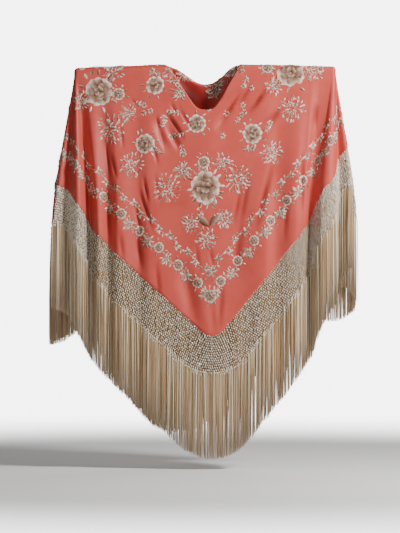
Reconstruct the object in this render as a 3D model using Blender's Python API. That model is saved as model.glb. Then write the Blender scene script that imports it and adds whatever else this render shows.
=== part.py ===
"""A Manila shawl, point down at the front, as it hangs over a pair of arms held out level.

The square of silk lies flat over the arms, sags into a scoop between them at the neck, and falls
in front, behind and over both ends. A net of knots is tied round its hem, and strands hang from it.
Metres. X runs along the arms, Y to the back and Z up, with Z = 0 where the arms carry the cloth.

A point of the cloth is named by where it lies on the form before it falls: `loop` runs round the
arms, from 0 at the middle of the front to the right end, the back and the left end, and `fall` is
the length of cloth from the top's edge down to the point.
"""
import math

import bpy
import bmesh
from mathutils import Vector

# The cloth before it is hung
CLOTH_SIDE = 1.43
CORNER_ROUND = 0.055
TURN = math.radians(4.0)
SLIP_ALONG, SLIP_FORWARD = -0.040, 0.043
NET_DEPTH = 0.137
STRAND_LENGTH = 0.30
CLOTH_THICK = 0.002
SEAM, CORNER_SEAM, STRIP_GAP = 0.0004, 0.0009, 0.0012

# What it hangs over, which isn't built: the top's flat part, and the round of its edge
HALF_SPAN, HALF_DEPTH, EDGE_ROUND = 0.456, 0.048, 0.012
EDGE_LENGTH = EDGE_ROUND * math.pi / 2
LEFT_DROOP, RIGHT_DROOP, DROOP_START = 0.0126, 0.0070, 0.149
CORNER_SHARE = 0.10

# The neck's scoop, between the two arms
NECK_MIDDLE = 0.004
CREST_SAG, CREST_REACH_LEFT, CREST_REACH_RIGHT = 0.067, 0.150, 0.128
SCOOP_DEPTH, SCOOP_REACH_LEFT, SCOOP_REACH_RIGHT, SCOOP_STEEPNESS = 0.163, 0.138, 0.122, 1.33
CREST_ROUND, CREST_ROUND_SHARE, CREST_FADE, SAG_LENGTH = 0.014, 0.3, 0.03, 0.5
SCOOP_BOTTOM_ROUND, STEEP_DROP = 0.08, 0.06
SOFT_MIDDLE = (0.03, 0.075)
CHUTE_TURN_SHARE, CHUTE_IN, CHUTE_OUT_CRISP, CHUTE_OUT_SOFT = 0.18, -1.3, (-0.06, -0.5), -1.1

# Folds are placed on the ring that lies this far down, and hang plumb below it
RING_FALL = 0.45
FAN = RING_FALL * math.pi / 2
LOOP = 4 * HALF_SPAN + 4 * HALF_DEPTH + 4 * FAN
SPREAD_START, SPREAD_BEND, PLUMB_GROWTH = 0.02, 0.12, 0.2
STEEPEST_LEAN = 0.9

# Each row is a ridge or a valley of the hanging cloth, left to right round the front and back round
# the ends. part and place: where its cloth comes from, in metres from the middle or in degrees round
# a corner. x, y: where it hangs on the ring. heading: the way that the cloth runs there. full: how
# round the fold is. rise: how far a slanting pull lifts it
FOLD_COLUMNS = ("part", "place", "x", "y", "heading", "full", "rise")
LEFT_FOLDS = (
    ("back", -0.425, -0.372, 0.110, 180, 0.8, 0.0),
    ("left back", 6, -0.404, 0.088, 190, 0.6, 0.0),
    ("left back", 23, -0.464, 0.158, 215, 0.8, 0.0),
    ("left back", 42, -0.436, 0.096, 235, 0.6, 0.0),
    ("left back", 62, -0.536, 0.116, 250, 0.9, 0.0),
    ("left back", 82, -0.418, 0.060, 268, 0.7, 0.0),
    ("left front", 84, -0.552, 0.042, 270, 1.0, 0.0),
    ("left front", 63, -0.432, 0.018, 275, 0.6, 0.0),
    ("left front", 42, -0.538, -0.080, 305, 0.8, 0.0),
    ("left front", 27, -0.489, -0.054, 345, 0.35, 0.0),
    ("left front", 11, -0.452, -0.106, 355, 0.8, 0.0),
)
FRONT_FOLDS = (
    ("front", -0.456, -0.411, -0.040, 0, 0.6, 0.0),
    ("front", -0.418, -0.382, -0.092, 0, 0.9, 0.0),
    ("front", -0.372, -0.346, -0.066, 0, 0.7, 0.0),
    ("front", -0.328, -0.308, -0.090, 0, 1.0, 0.0),
    ("front", -0.252, -0.240, -0.074, 0, 0.8, 0.0),
    ("front", -0.205, -0.196, -0.086, 0, 1.0, 0.0),
    ("front", -0.100, -0.097, -0.080, 0, 1.0, 0.0),
    ("front", 0.010, 0.010, -0.084, 0, 1.0, 0.0),
    ("front", 0.120, 0.116, -0.079, 0, 1.0, 0.0),
    ("front", 0.225, 0.214, -0.088, 0, 1.0, 0.0),
    ("front", 0.272, 0.256, -0.077, 0, 1.0, 0.0),
    ("front", 0.345, 0.322, -0.094, 0, 1.0, 0.0),
    ("front", 0.383, 0.352, -0.084, 0, 0.9, 0.0),
    ("front", 0.415, 0.377, -0.048, 0, 0.7, 0.0),
)
RIGHT_FOLDS = (
    ("right front", 9, 0.436, -0.108, 8, 1.3, 0.005),
    ("right front", 27, 0.481, -0.052, 15, 0.35, 0.030),
    ("right front", 43, 0.530, -0.080, 55, 0.8, 0.045),
    ("right front", 62, 0.430, 0.016, 85, 0.6, 0.030),
    ("right front", 82, 0.546, 0.040, 90, 1.0, 0.010),
    ("right back", 82, 0.418, 0.060, 92, 0.7, 0.0),
    ("right back", 62, 0.530, 0.114, 112, 0.9, 0.0),
    ("right back", 42, 0.436, 0.096, 125, 0.6, 0.0),
    ("right back", 22, 0.464, 0.154, 145, 0.8, 0.0),
    ("right back", 5, 0.402, 0.088, 170, 0.6, 0.0),
)
BACK_FOLDS = (
    ("back", 0.410, 0.376, 0.104, 180, 0.9, 0.0),
    ("back", 0.345, 0.320, 0.072, 180, 0.9, 0.0),
    ("back", 0.270, 0.254, 0.097, 180, 1.0, 0.0),
    ("back", 0.185, 0.177, 0.080, 180, 1.0, 0.0),
    ("back", 0.075, 0.073, 0.092, 180, 1.0, 0.0),
    ("back", -0.045, -0.043, 0.081, 180, 1.0, 0.0),
    ("back", -0.150, -0.145, 0.094, 180, 1.0, 0.0),
    ("back", -0.235, -0.222, 0.076, 180, 1.0, 0.0),
    ("back", -0.310, -0.289, 0.100, 180, 1.0, 0.0),
    ("back", -0.375, -0.345, 0.074, 180, 0.9, 0.0),
)

# Troughs that cross the front, seen from the front: from one place to another, half as wide as
# width and depth deep at their middle
CREASE_COLUMNS = ("x0", "z0", "x1", "z1", "width", "depth")
FRONT_CREASES = (
    (-0.150, -0.170, -0.085, -0.310, 0.016, 0.012),
    (-0.185, -0.185, -0.125, -0.320, 0.014, 0.010),
    (0.100, -0.150, 0.035, -0.240, 0.016, 0.008),
    (0.225, -0.070, 0.050, -0.250, 0.022, 0.007),
    (-0.085, -0.700, -0.030, -0.965, 0.028, 0.016),
    (0.018, -0.850, 0.032, -0.975, 0.014, 0.006),
)

# How the pieces are cut into facets
STEPS_BETWEEN_FOLDS, SHORTEST_PANEL_STEP, SHORTEST_END_STEP = 3, 0.014, 0.030
CLEAR_OF_ENDS = 0.003
LIP_ROWS, EDGE_ROWS, PANEL_ROWS = 11, 3, 8
HEM_STEPS = 60
LAST_ROW = 0.999

# The fringe: strips that the strands hang from, and the strands
STRIP_DEPTH = 0.008
STRAND_PITCH, STRAND_WIDTH, STRAND_TIP = 0.040, 0.007, 0.6

# Colours by eye, as seen in even light
SILK_COLOUR = (0.62, 0.13, 0.11, 1.0)
NET_COLOUR = (0.55, 0.44, 0.31, 1.0)
STRAND_COLOUR = (0.47, 0.34, 0.21, 1.0)


def smooth(value, low=0.0, high=1.0):
    """An even step from 0 to 1 as value goes from low to high."""
    t = min(1.0, max(0.0, (value - low) / (high - low)))
    return t * t * (3.0 - 2.0 * t)


def mix(start, end, share):
    return start + (end - start) * share


def loop_place(part, place):
    """Where a ray of the cloth lies on the loop round the arms."""
    if part == "front":
        return place
    if part == "back":
        return math.copysign(LOOP / 2 - abs(place), place)
    side = -1.0 if part.startswith("left") else 1.0
    if part.endswith("front"):
        return side * (HALF_SPAN + RING_FALL * math.radians(place))
    return side * (LOOP / 2 - HALF_SPAN - RING_FALL * math.radians(place))


def wrapped(loop):
    """The same place of the loop, between -LOOP / 2 and LOOP / 2."""
    return (loop + LOOP / 2) % LOOP - LOOP / 2


def flat_ray(loop):
    """The start and the way, on the flat cloth, of the ray that falls at this place of the loop."""
    side, along = math.copysign(1.0, loop), abs(loop)
    if along <= HALF_SPAN:
        return Vector((loop, HALF_DEPTH)), Vector((0.0, 1.0))
    along -= HALF_SPAN
    if along <= FAN:
        angle = along / RING_FALL
        return Vector((side * HALF_SPAN, HALF_DEPTH)), Vector((side * math.sin(angle), math.cos(angle)))
    along -= FAN
    if along <= 2 * HALF_DEPTH:
        return Vector((side * HALF_SPAN, HALF_DEPTH - along)), Vector((side, 0.0))
    along -= 2 * HALF_DEPTH
    if along <= FAN:
        angle = along / RING_FALL
        return Vector((side * HALF_SPAN, -HALF_DEPTH)), Vector((side * math.cos(angle), -math.sin(angle)))
    return Vector((side * (HALF_SPAN - along + FAN), -HALF_DEPTH)), Vector((0.0, -1.0))


def beyond_hem(point):
    """How far a flat point lies outside the square with rounded corners, less than 0 inside it."""
    turn = math.pi / 4 + TURN
    from_middle = point - Vector((SLIP_ALONG, SLIP_FORWARD))
    across = abs(from_middle.x * math.cos(turn) - from_middle.y * math.sin(turn))
    down = abs(from_middle.x * math.sin(turn) + from_middle.y * math.cos(turn))
    half = CLOTH_SIDE / 2 - CORNER_ROUND
    outside = Vector((max(across - half, 0.0), max(down - half, 0.0))).length
    return outside + min(max(across, down) - half, 0.0) - CORNER_ROUND


def fall_to(loop, beyond):
    """The fall at which a ray comes to the line that lies `beyond` outside the hem."""
    start, way = flat_ray(wrapped(loop))
    fall = 0.0
    for _ in range(HEM_STEPS):
        fall += beyond - beyond_hem(start + way * fall)
    return fall


def top_edge(loop):
    """The edge of the top's flat part, seen from above, and the way out of it."""
    side, along = math.copysign(1.0, loop), abs(loop)
    if along <= HALF_SPAN:
        return Vector((loop, -HALF_DEPTH)), Vector((0.0, -1.0))
    end_length = LOOP / 2 - 2 * HALF_SPAN
    if along <= HALF_SPAN + end_length:
        share = (along - HALF_SPAN) / end_length
        first, last = min(1.0, share / CORNER_SHARE), max(0.0, 1.0 - (1.0 - share) / CORNER_SHARE)
        across = min(1.0, max(0.0, (share - CORNER_SHARE) / (1.0 - 2 * CORNER_SHARE)))
        angle = math.pi / 2 * (first + last)
        return (Vector((side * HALF_SPAN, mix(-HALF_DEPTH, HALF_DEPTH, across))),
                Vector((side * math.sin(angle), -math.cos(angle))))
    return Vector((side * (LOOP / 2 - along), HALF_DEPTH)), Vector((0.0, 1.0))


def droop(x):
    """How far the arms hang below level at x."""
    reach = (abs(x) - DROOP_START) / (HALF_SPAN - DROOP_START)
    return (LEFT_DROOP if x < 0 else RIGHT_DROOP) * max(0.0, reach)


def fold_rows():
    """All folds as dictionaries, in order round the loop, with the first again after the last."""
    rows = []
    for values in LEFT_FOLDS + FRONT_FOLDS + RIGHT_FOLDS + BACK_FOLDS:
        row = dict(zip(FOLD_COLUMNS, values))
        row["loop"] = loop_place(row["part"], row["place"])
        rows.append(row)
    rows.sort(key=lambda row: row["loop"])
    last, first = dict(rows[-1]), dict(rows[0])
    last["loop"] -= LOOP
    first["loop"] += LOOP
    return [last] + rows + [first]


FOLDS = fold_rows()


def on_ring(loop):
    """Where the cloth hangs on the ring, as x, y and rise, on a smooth curve through the folds."""
    index = 0
    while FOLDS[index + 1]["loop"] < loop:
        index += 1
    before, after = FOLDS[index], FOLDS[index + 1]
    cloth = after["loop"] - before["loop"]
    share = (loop - before["loop"]) / cloth
    start, end = Vector((before["x"], before["y"])), Vector((after["x"], after["y"]))
    ways = []
    for row in (before, after):
        way = Vector((math.cos(math.radians(row["heading"])), math.sin(math.radians(row["heading"]))))
        along = abs((end - start).dot(way))
        ways.append(way * row["full"] * (cloth + along) / 2)
    square, cube = share ** 2, share ** 3
    place = (start * (2 * cube - 3 * square + 1) + ways[0] * (cube - 2 * square + share)
             + end * (3 * square - 2 * cube) + ways[1] * (cube - square))
    return place.x, place.y, mix(before["rise"], after["rise"], smooth(share))


def spread(fall):
    """How much of its way out to the ring's place the cloth has gone at a fall, 1 on the ring."""
    share = (math.hypot(fall, SPREAD_START) - SPREAD_START) / RING_FALL
    slowed = SPREAD_BEND * math.log(1 + math.exp((share - 1) / SPREAD_BEND))
    return share - (1 - PLUMB_GROWTH) * slowed


def crest_height(x):
    """How high the back edge of the scoop stands at x: 0 on the arms, and lowest at the neck."""
    reach = CREST_REACH_LEFT if x < NECK_MIDDLE else CREST_REACH_RIGHT
    share = min(1.0, abs(x - NECK_MIDDLE) / reach)
    return -CREST_SAG * (1 + math.cos(math.pi * share)) / 2


def scoop_height(x):
    """How high the scoop's front edge stands at x."""
    reach = SCOOP_REACH_LEFT if x < NECK_MIDDLE else SCOOP_REACH_RIGHT
    share = SCOOP_STEEPNESS * (1 - abs(x - NECK_MIDDLE) / reach)
    deep = share - SCOOP_BOTTOM_ROUND * math.log(1 + math.exp((share - 1) / SCOOP_BOTTOM_ROUND))
    return -math.hypot(EDGE_ROUND, SCOOP_DEPTH * max(0.0, deep))


def crease_depth(x, z):
    """How far the creases press the front in at a place seen from the front."""
    depth = 0.0
    for values in FRONT_CREASES:
        row = dict(zip(CREASE_COLUMNS, values))
        along = Vector((row["x1"] - row["x0"], row["z1"] - row["z0"]))
        to_point = Vector((x - row["x0"], z - row["z0"]))
        share = to_point.dot(along) / along.length_squared
        if 0.0 < share < 1.0:
            side = (to_point - along * share).length / row["width"]
            depth += row["depth"] * math.sin(math.pi * share) * math.exp(-side * side)
    return depth


def hanging(loop, fall):
    """The place of a point below the top's edge, where nothing sags."""
    edge, out = top_edge(loop)
    turn = min(fall, EDGE_LENGTH) / EDGE_ROUND
    place = edge + out * EDGE_ROUND * math.sin(turn)
    z = -EDGE_ROUND * (1 - math.cos(turn)) - droop(edge.x)
    if fall > EDGE_LENGTH:
        below = fall - EDGE_LENGTH
        x, y, rise = on_ring(loop)
        slant = Vector((x, y)) - place
        lean = min(STEEPEST_LEAN, slant.length / RING_FALL)
        lift = rise + RING_FALL * (1 - math.sqrt(1 - lean * lean))
        place += slant * spread(below)
        z += lift * spread(below) - below
    if abs(loop) < HALF_SPAN:
        place.y += crease_depth(place.x, z)
    if abs(loop) > LOOP / 2 - HALF_SPAN:
        z += crest_height(edge.x) * (1 - smooth(fall, 0.0, SAG_LENGTH))
    return Vector((place.x, place.y, z))


def scoop_place(x, share):
    """A point on the way from the back edge of the scoop down to its front edge, at x."""
    low, high = scoop_height(x), crest_height(x)
    drop = high - low
    round_size = min(CREST_ROUND, CREST_ROUND_SHARE * drop)
    top = Vector((HALF_DEPTH, high))
    if share < CHUTE_TURN_SHARE:
        turn = share / CHUTE_TURN_SHARE * math.pi / 2
        return top + Vector((-math.sin(turn), math.cos(turn) - 1)) * round_size
    start = top + Vector((-round_size, -round_size))
    front = hanging(x, EDGE_LENGTH - EDGE_ROUND - low)
    end = Vector((front.y, front.z))
    steep = smooth(drop, 0.0, STEEP_DROP)
    soft = 1 - smooth(abs(x - NECK_MIDDLE), *SOFT_MIDDLE)
    way_in = (end - start).lerp(Vector((0.0, CHUTE_IN * drop)), steep)
    forward, crisp = CHUTE_OUT_CRISP
    way_out = Vector((forward, crisp * drop)).lerp(Vector((0.0, CHUTE_OUT_SOFT * drop)), soft)
    along = (share - CHUTE_TURN_SHARE) / (1 - CHUTE_TURN_SHARE)
    square, cube = along ** 2, along ** 3
    return (start * (2 * cube - 3 * square + 1) + way_in * (cube - 2 * square + along)
            + end * (3 * square - 2 * cube) + way_out * (cube - square))


def draped(loop, fall):
    """The place of any point of the cloth. On the front a fall below 0 lies on top of the arms."""
    loop = wrapped(loop)
    if abs(loop) > HALF_SPAN:
        return hanging(loop, fall)
    edge_fall = EDGE_LENGTH - EDGE_ROUND - scoop_height(loop)
    if fall >= edge_fall:
        return hanging(loop, fall)
    level = hanging(loop, fall) if fall > 0 else Vector((loop, -HALF_DEPTH - fall, -droop(loop)))
    reach = CREST_REACH_LEFT if loop < NECK_MIDDLE else CREST_REACH_RIGHT
    sag = 1 - smooth(abs(loop - NECK_MIDDLE), reach - CREST_FADE, reach)
    if sag == 0.0:
        return level
    y, z = scoop_place(loop, (fall + 2 * HALF_DEPTH) / (edge_fall + 2 * HALF_DEPTH))
    return level.lerp(Vector((loop, y, z)), sag)


def outward(loop, fall):
    """The way out of the cloth at a point."""
    aside, lower = 0.004, 0.0005
    along = draped(loop + aside, fall) - draped(loop - aside, fall)
    down = draped(loop, fall + lower) - draped(loop, fall - lower)
    return down.cross(along).normalized()


def new_material(name, colour, roughness):
    material = bpy.data.materials.new(name)
    material.use_nodes = True
    shader = material.node_tree.nodes["Principled BSDF"]
    shader.inputs["Base Color"].default_value = colour
    shader.inputs["Roughness"].default_value = roughness
    shader.inputs["Metallic"].default_value = 0.0
    return material


def add_object(name, mesh_builder, material):
    """Turns a bmesh into a named object with outward faces."""
    bmesh.ops.recalc_face_normals(mesh_builder, faces=mesh_builder.faces[:])
    mesh = bpy.data.meshes.new(name)
    mesh_builder.to_mesh(mesh)
    mesh_builder.free()
    mesh.materials.append(material)
    piece = bpy.data.objects.new(name, mesh)
    bpy.context.scene.collection.objects.link(piece)
    return piece


def spaced(low, high, count):
    return [mix(low, high, i / count) for i in range(count + 1)]


def split_rims(faces, outer, cells):
    """Splits the edge faces the same way on both sides of a seam, so that they stay parted."""
    for face in faces:
        skin = sorted((vert for vert in face.verts if vert in outer), key=cells.get)
        lining = sorted((vert for vert in face.verts if vert not in outer), key=cells.get)
        if len(skin) == 2 and len(lining) == 2:
            bmesh.utils.face_split(face, skin[0], lining[1])


def wall(columns, falls_at, stops=None):
    """A wall of cloth over columns of the loop, with falls_at(loop) giving each column's falls.

    stops, where given, are places between the columns, such as 2.5, and the wall's own columns.
    Also returns the faces along its lowest edge, from one end to the other. Those of a wall with
    stops stay whole, as strands grow from them.
    """
    lines = []
    for loop in columns:
        falls = falls_at(loop)
        lines.append([(draped(loop, fall), outward(loop, fall) * CLOTH_THICK) for fall in falls])
    keep_lowest = stops is not None
    stops = stops or list(range(len(columns)))
    across, rows = len(stops) - 1, len(lines[0]) - 1
    builder = bmesh.new()
    bmesh.ops.create_grid(builder, x_segments=across, y_segments=rows, size=1.0)
    outer = set(builder.verts)
    bmesh.ops.extrude_face_region(builder, geom=builder.faces[:], use_keep_orig=True)
    lowest = [face for face in builder.faces if face.calc_center_median().y > LAST_ROW]
    lowest.sort(key=lambda face: face.calc_center_median().x)
    cells = {}
    for vert in builder.verts:
        column, row = round((vert.co.x + 1) / 2 * across), round((vert.co.y + 1) / 2 * rows)
        cells[vert] = (column, row)
        stop = stops[column]
        before = min(int(stop), len(columns) - 2)
        (left, left_in), (right, right_in) = lines[before][row], lines[before + 1][row]
        place, inwards = left.lerp(right, stop - before), left_in.lerp(right_in, stop - before)
        vert.co = place if vert in outer else place - inwards
    whole = set(lowest) if keep_lowest else set()
    split_rims([face for face in builder.faces if face not in whole], outer, cells)
    return builder, lowest


def columns_between(low, high, shortest):
    """Places on the loop from low to high, with every fold and even steps between folds."""
    turned = [row["loop"] + turn for row in FOLDS[1:-1] for turn in (0.0, LOOP)]
    between = [loop for loop in turned if low + CLEAR_OF_ENDS < loop < high - CLEAR_OF_ENDS]
    stops = [low] + sorted(between) + [high]
    places = []
    for first, second in zip(stops, stops[1:]):
        steps = max(1, min(STEPS_BETWEEN_FOLDS, int((second - first) / shortest)))
        places += spaced(first, second, steps)[:-1]
    return places + [high]


def front_falls(loop):
    """Falls of the front piece: over the top or down the scoop, then down to the hem."""
    lip = EDGE_LENGTH - EDGE_ROUND - scoop_height(loop)
    over_top = (spaced(-2 * HALF_DEPTH, 0.0, LIP_ROWS - EDGE_ROWS)
                + spaced(0.0, EDGE_LENGTH, EDGE_ROWS)[1:])
    down_scoop = spaced(-2 * HALF_DEPTH, lip, LIP_ROWS)
    share = smooth(lip, EDGE_LENGTH, STEEP_DROP)
    upper = [mix(level, deep, share) for level, deep in zip(over_top, down_scoop)]
    return upper[:-1] + spaced(lip, fall_to(loop, 0.0), PANEL_ROWS)


def side_falls(loop):
    """Falls from just under the top's edge to the hem."""
    over_edge = [SEAM] + spaced(0.0, EDGE_LENGTH, EDGE_ROWS)[1:-1]
    return over_edge + spaced(EDGE_LENGTH, fall_to(loop, 0.0), PANEL_ROWS)


def band_falls(start, end):
    """Falls of a band between two lines outside the hem."""
    def falls_at(loop):
        return [fall_to(loop, start), fall_to(loop, end)]
    return falls_at


def fringe(columns):
    """A narrow strip under the net, with strands hanging plumb from it."""
    edge = NET_DEPTH + STRIP_GAP
    points = [draped(loop, fall_to(loop, edge)) for loop in columns]
    stops, roots, owed = [0], [], 0.5
    for index, (first, second) in enumerate(zip(points, points[1:])):
        length = (second - first).length
        owed += length / STRAND_PITCH
        count = int(owed)
        owed -= count
        for i in range(count):
            middle, half = (i + 0.5) / count, STRAND_WIDTH / 2 / length
            roots.append(len(stops))
            stops += [index + middle - half, index + middle + half]
        stops.append(index + 1)
    builder, lowest = wall(columns, band_falls(edge, edge + STRIP_DEPTH), stops)
    faces = [lowest[root] for root in roots]
    for face in bmesh.ops.extrude_discrete_faces(builder, faces=faces)["faces"]:
        middle = face.calc_center_median()
        for vert in face.verts:
            vert.co = middle.lerp(vert.co, STRAND_TIP) - Vector((0.0, 0.0, STRAND_LENGTH))
    return builder


for old in list(bpy.data.objects):
    bpy.data.objects.remove(old)

silk = new_material("silk_crepe", SILK_COLOUR, 0.45)
net_silk = new_material("knotted_silk", NET_COLOUR, 0.7)
strand_silk = new_material("silk_strand", STRAND_COLOUR, 0.6)

# The stretches of the hanging shawl: their ends on the loop
BACK_START = LOOP / 2 - HALF_SPAN
STRETCHES = {
    "front": (-HALF_SPAN + CORNER_SEAM, HALF_SPAN - CORNER_SEAM),
    "right_end": (HALF_SPAN, BACK_START),
    "back": (BACK_START + CORNER_SEAM, LOOP - BACK_START - CORNER_SEAM),
    "left_end": (-BACK_START, -HALF_SPAN),
}
for name, (low, high) in STRETCHES.items():
    columns = columns_between(low, high, SHORTEST_END_STEP if "end" in name else SHORTEST_PANEL_STEP)
    cloth, _ = wall(columns, front_falls if name == "front" else side_falls)
    add_object("shawl_" + name, cloth, silk)
    net, _ = wall(columns, band_falls(SEAM, NET_DEPTH))
    add_object("net_" + name, net, net_silk)
    add_object("fringe_" + name, fringe(columns), strand_silk)
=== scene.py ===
# %% [markdown]
# # A Manila shawl, hung point down
# A Manila shawl is a big square of silk crepe, embroidered by hand in satin stitch, with a net of
# knots tied round its hem and a long fringe hanging from the net. Here it lies over a pair of level
# arms, sags into a scoop at the neck and falls in front, behind and over both ends.
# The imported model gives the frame: its four stretches of cloth, net and fringe are plain solids, and
# this script puts a cloth, knots, strands and needlework where those solids are.

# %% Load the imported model
import math

import bpy
import bmesh
import numpy as np
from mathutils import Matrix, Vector


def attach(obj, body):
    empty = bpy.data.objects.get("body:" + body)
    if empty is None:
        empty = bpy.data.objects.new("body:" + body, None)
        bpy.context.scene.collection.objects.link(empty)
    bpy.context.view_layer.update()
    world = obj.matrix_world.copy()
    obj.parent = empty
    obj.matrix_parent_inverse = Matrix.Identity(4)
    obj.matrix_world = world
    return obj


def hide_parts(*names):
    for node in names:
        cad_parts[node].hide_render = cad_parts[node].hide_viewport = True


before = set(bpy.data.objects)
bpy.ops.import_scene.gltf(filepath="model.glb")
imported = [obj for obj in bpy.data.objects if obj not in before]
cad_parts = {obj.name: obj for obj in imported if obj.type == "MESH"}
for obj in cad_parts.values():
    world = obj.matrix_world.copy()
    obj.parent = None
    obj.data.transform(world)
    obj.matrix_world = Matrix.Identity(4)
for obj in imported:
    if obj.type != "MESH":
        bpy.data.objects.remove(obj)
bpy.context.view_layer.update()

# %% [markdown]
# ## Camera, floor and light
# The shawl was photographed level, from straight in front and through a long lens. One pixel is
# 3.6 mm of shawl, which gives the height of the frame, and with the distance that gives the lens.

# %% Camera
PIXEL, PIXELS_HIGH = 0.0036, 533
CAMERA_TARGET, CAMERA_DISTANCE = Vector((-0.018, 0.0, -0.7236)), 12.0
SENSOR, FAR_CLIP = 36.0, 60.0


def put(name, data):
    """Puts data in the scene, as an object."""
    thing = bpy.data.objects.new(name, data)
    bpy.context.scene.collection.objects.link(thing)
    return thing


camera_data = bpy.data.cameras.new("camera")
camera_data.sensor_fit = "VERTICAL"
camera_data.sensor_height = SENSOR
camera_data.lens = SENSOR * CAMERA_DISTANCE / (PIXELS_HIGH * PIXEL)
camera_data.clip_end = FAR_CLIP
camera = put("camera", camera_data)
camera.location = CAMERA_TARGET - Vector((0.0, CAMERA_DISTANCE, 0.0))
camera.rotation_euler = (math.pi / 2, 0.0, 0.0)
bpy.context.scene.camera = camera
print(f"lens {camera_data.lens:.0f} mm at {CAMERA_DISTANCE} m")

# %% [markdown]
# Every material below needs nodes, links and colours, so these small functions come first.
# Colours are read as sRGB hex values, and a shader wants them linear.

# %% Helpers for materials
def linear(hex_colour):
    """An sRGB colour such as "#E07C74" as linear red, green, blue and alpha."""
    values = [int(hex_colour[i:i + 2], 16) / 255 for i in (1, 3, 5)]
    return [v / 12.92 if v <= 0.04045 else ((v + 0.055) / 1.055) ** 2.4 for v in values] + [1.0]


def feed(material, node, **inputs):
    """Sets inputs of a node, such as Base_Color or _0, to values or to other nodes' outputs."""
    for name, value in inputs.items():
        key = int(name[1:]) if name[1:].isdigit() else name.replace("_", " ")
        if isinstance(value, bpy.types.NodeSocket):
            material.node_tree.links.new(value, node.inputs[key])
        else:
            node.inputs[key].default_value = value


def new_material(name, colour, roughness):
    """A material with one Principled shader, and that shader."""
    material = bpy.data.materials.new(name)
    material.use_nodes = True
    shader = material.node_tree.nodes["Principled BSDF"]
    feed(material, shader, Base_Color=linear(colour), Roughness=roughness)
    return material, shader


def output_of(material, kind, output, settings=None, **inputs):
    """Adds a node with its settings and inputs, and gives one of its outputs."""
    node = material.node_tree.nodes.new("ShaderNode" + kind)
    for name, value in (settings or {}).items():
        setattr(node, name, value)
    feed(material, node, **inputs)
    return node.outputs[output]


def mapped(material, value, start, end, kind="LINEAR"):
    """A value that goes from start[0] to end[0], turned into one that goes from start[1] to end[1]."""
    return output_of(material, "MapRange", "Result", {"interpolation_type": kind}, Value=value,
                     From_Min=start[0], From_Max=end[0], To_Min=start[1], To_Max=end[1])


def noted(material, title, output="Fac"):
    """What the mesh's attribute with this title says at each point."""
    return output_of(material, "Attribute", output, {"attribute_name": title})


def ramp(material, value, *stops):
    """Colours by a value, through stops that are pairs of a value and a hex colour."""
    colours = output_of(material, "ValToRGB", "Color", Fac=value)
    elements = colours.node.color_ramp.elements
    while len(elements) < len(stops):
        elements.new(1.0)
    for element, (place, colour) in zip(elements, stops):
        element.position = place
        element.color = linear(colour)
    return colours


# %% [markdown]
# The floor lies under the longest strands. It is white, and thins out with distance, so that no
# horizon crosses the picture behind the fringe. Like all the shapes below it is built as a bmesh,
# and one function turns what a bmesh holds into an object.

# %% Floor
FLOOR_HEIGHT = -1.45
FLOOR_SIDE = 14.0
FLOOR_FADE = ((1.6, 1.0), (4.5, 0.0))


def built(name, builder):
    """Puts what a bmesh holds in the scene, as a mesh object, and frees the bmesh."""
    mesh = bpy.data.meshes.new(name)
    builder.to_mesh(mesh)
    builder.free()
    return put(name, mesh)


floor_builder = bmesh.new()
bmesh.ops.create_grid(floor_builder, x_segments=1, y_segments=1, size=FLOOR_SIDE / 2)
bmesh.ops.translate(floor_builder, vec=(0.0, 0.0, FLOOR_HEIGHT), verts=floor_builder.verts[:])
floor = built("floor", floor_builder)

floor_paint, floor_shader = new_material("matt_white_floor", "#F2F1EF", 0.9)
place = output_of(floor_paint, "TexCoord", "Object")
level = output_of(floor_paint, "VectorMath", "Vector", {"operation": "MULTIPLY"},
                  _0=place, _1=(1.0, 1.0, 0.0))
away = output_of(floor_paint, "VectorMath", "Value", {"operation": "LENGTH"}, _0=level)
feed(floor_paint, floor_shader, Alpha=mapped(floor_paint, away, *FLOOR_FADE, "SMOOTHSTEP"))
floor.data.materials.append(floor_paint)

# %% [markdown]
# The light is a studio's: a soft box on the right, which rakes over the folds and the stitches, a
# weak wide one on the left, one behind, and a dim room with one white wall far behind the shawl. The
# wall is a round bright patch of the sky, whose edge fades from its own strength to the room's.

# %% Lights
LIGHTS = (
    ("soft_box_right", (2.1, -1.7, 1.1), 0.6, 150.0),
    ("soft_box_left", (-1.4, -3.6, 0.6), 1.4, 22.0),
    ("soft_box_back", (0.6, 3.0, 1.8), 2.0, 40.0),
)
LIGHT_AIM = Vector((0.0, 0.0, -0.6))
WALL_EDGE = ((math.cos(math.radians(14.0)), 0.08), (math.cos(math.radians(10.0)), 6.0))

for name, position, size, power in LIGHTS:
    light = bpy.data.lights.new(name, "AREA")
    light.size = size
    light.energy = power
    holder = put(name, light)
    holder.location = position
    holder.rotation_euler = (LIGHT_AIM - holder.location).to_track_quat("-Z", "Y").to_euler()

room = bpy.data.worlds.new("pale_room")
room.use_nodes = True
sky = room.node_tree.nodes["Background"]
towards_wall = output_of(room, "VectorMath", "Value", {"operation": "DOT_PRODUCT"},
                         _0=output_of(room, "TexCoord", "Generated"), _1=(0.0, 1.0, 0.0))
feed(room, sky, Color=linear("#FFFFFF"), Strength=mapped(room, towards_wall, *WALL_EDGE, "SMOOTHSTEP"))
bpy.context.scene.world = room

# %% [markdown]
# ## The way the cloth hangs
# The solids were made from a few sizes of the form and a table of folds, and the same ones are
# repeated here, so that the fine cloth lies on the solids. A point of the cloth is named by where it
# lies before it falls: `loop` runs round the arms, from 0 at the middle of the front to the right
# end, the back and the left end, and `fall` is the length of cloth below the edge of the top.
# The functions take whole arrays of points, because there will be some hundred thousand of them.

# %% Sizes of the cloth and of the form under it
# the cut, how it lies on the form, and what hangs from it
CLOTH_SIDE, CORNER_ROUND = 1.43, 0.055
TURN = math.radians(4.0)
SLIP_ALONG, SLIP_FORWARD = -0.040, 0.043
NET_DEPTH, STRAND_LENGTH = 0.137, 0.30

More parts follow.
